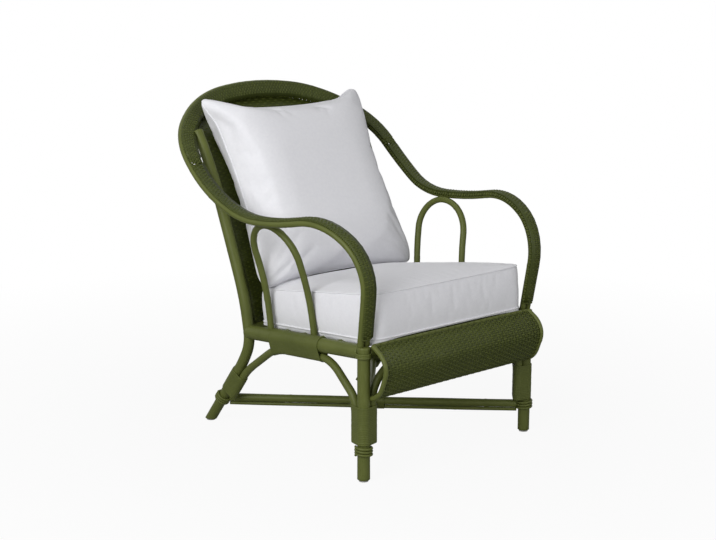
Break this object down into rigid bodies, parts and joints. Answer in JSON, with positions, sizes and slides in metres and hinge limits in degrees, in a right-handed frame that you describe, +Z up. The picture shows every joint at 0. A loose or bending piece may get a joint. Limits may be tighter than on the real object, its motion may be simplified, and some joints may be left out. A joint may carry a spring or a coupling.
{
  "type": "rattan armchair",
  "caption": "Open-arm rattan armchair: bent hoop forms arms and back, woven apron and back panel, wrapped joints, loose box seat cushion and knife-edge back pillow.",
  "frame": {"origin": "centre of the bounding box in plan, at floor level", "axes": "+Z up, -Y the front of the chair, +X the sitter's left"},
  "size_m": [0.7494, 0.8665, 0.9223],
  "materials": {
    "green_rattan": "satin olive green paint on bent rattan pole",
    "green_weave": "satin olive green paint on woven rattan core",
    "green_cane_wrap": "satin olive green paint on wrapped cane",
    "white_cover": "matt white cotton weave",
    "white_piping": "matt white covered piping cord",
    "cushion_filling": "foam and fibre filling",
    "beech_dowel": "plain dowel",
    "steel_pin": "plain steel",
    "grey_glide": "moulded nylon"
  },
  "bodies": {
    "frame": {"apron_bottom_pole": "green_rattan", "apron_end_pole_left": "green_rattan", "apron_end_pole_right": "green_rattan", "apron_top_pole": "green_rattan", "apron_weave": "green_weave", "arm_arch_left": "green_rattan", "arm_arch_right": "green_rattan", "arm_band_left": "green_weave", "arm_band_right": "green_weave", "back_band": "green_weave", "back_panel_weave": "green_weave", "cross_stretcher_a": "green_rattan", "cross_stretcher_b": "green_rattan", "foot_glides": "grey_glide", "front_brace": "green_rattan", "front_leg_left": "green_rattan", "front_leg_right": "green_rattan", "front_rail": "green_rattan", "hoop_core_pole": "green_rattan", "hoop_pins": "steel_pin", "hoop_rim_pole": "green_rattan", "leg_binding_left": "green_cane_wrap", "leg_binding_right": "green_cane_wrap", "leg_collar_left": "green_cane_wrap", "leg_collar_right": "green_cane_wrap", "leg_ring_left": "green_cane_wrap", "leg_ring_right": "green_cane_wrap", "post_binding_left": "green_cane_wrap", "post_binding_right": "green_cane_wrap", "post_ring_left": "green_cane_wrap", "post_ring_right": "green_cane_wrap", "rail_binding_left": "green_cane_wrap", "rail_binding_right": "green_cane_wrap", "rail_dowels": "beech_dowel", "rear_post_left": "green_rattan", "rear_post_right": "green_rattan", "rear_rail": "green_rattan", "seat_slat_1": "green_rattan", "seat_slat_2": "green_rattan", "seat_slat_3": "green_rattan", "seat_slat_4": "green_rattan", "seat_slat_5": "green_rattan", "seat_slat_6": "green_rattan", "side_brace_left": "green_rattan", "side_brace_right": "green_rattan", "side_rail_left": "green_rattan", "side_rail_right": "green_rattan", "stretcher_lashing": "green_cane_wrap", "stretcher_strip_a": "green_rattan", "stretcher_strip_b": "green_rattan"},
    "seat_cushion": {"seat_cushion_cover": "white_cover", "seat_foam_core": "cushion_filling", "seat_welt_bottom": "white_piping", "seat_welt_top": "white_piping"},
    "back_pillow": {"back_pillow_cover": "white_cover", "back_pillow_insert": "cushion_filling", "back_pillow_piping": "white_piping"}
  },
  "joints": [
    {"name": "seat_cushion_lift", "type": "slide", "parent": "frame", "child": "seat_cushion", "axis": [0, 0, 1], "range_m": [0, 0.45]},
    {"name": "back_pillow_lift", "type": "slide", "parent": "seat_cushion", "child": "back_pillow", "axis": [0, -0.342, 0.9397], "range_m": [0, 0.45]}
  ]
}
